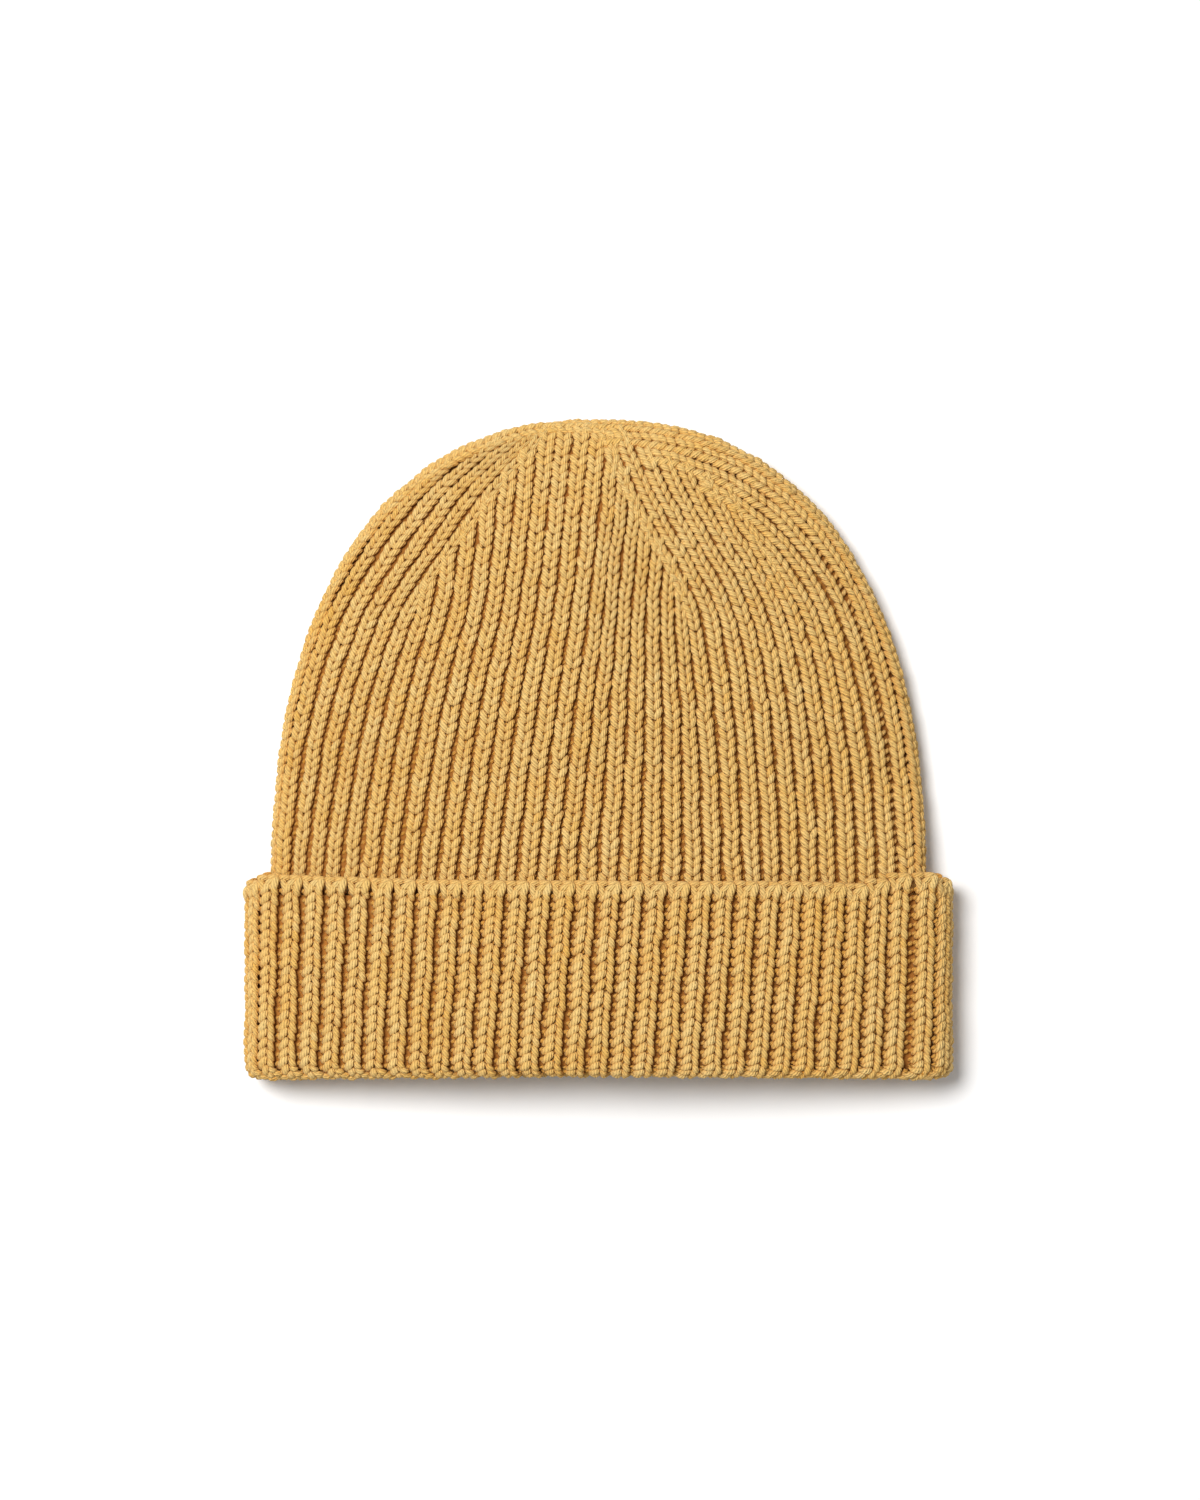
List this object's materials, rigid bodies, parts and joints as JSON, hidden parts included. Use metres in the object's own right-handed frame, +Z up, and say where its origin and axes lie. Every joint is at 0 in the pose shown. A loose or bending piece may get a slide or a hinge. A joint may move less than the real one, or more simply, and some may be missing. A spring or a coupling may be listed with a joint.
{
  "type": "cuffed beanie",
  "caption": "Cuffed rib-knit beanie in thick mustard yarn, lying flat on its back with its brim turned up.",
  "frame": {"origin": "on the surface under the middle of the lying hat", "axes": "+Y from the cuff's fold to the top of the crown, +X to the right as seen from above, +Z up out of the front of the hat"},
  "size_m": [0.2264, 0.2112, 0.034],
  "materials": {
    "knit": "soft one-by-one rib knit in thick mustard yarn"
  },
  "bodies": {
    "root": {"crown": "knit", "cuff": "knit"}
  },
  "joints": []
}
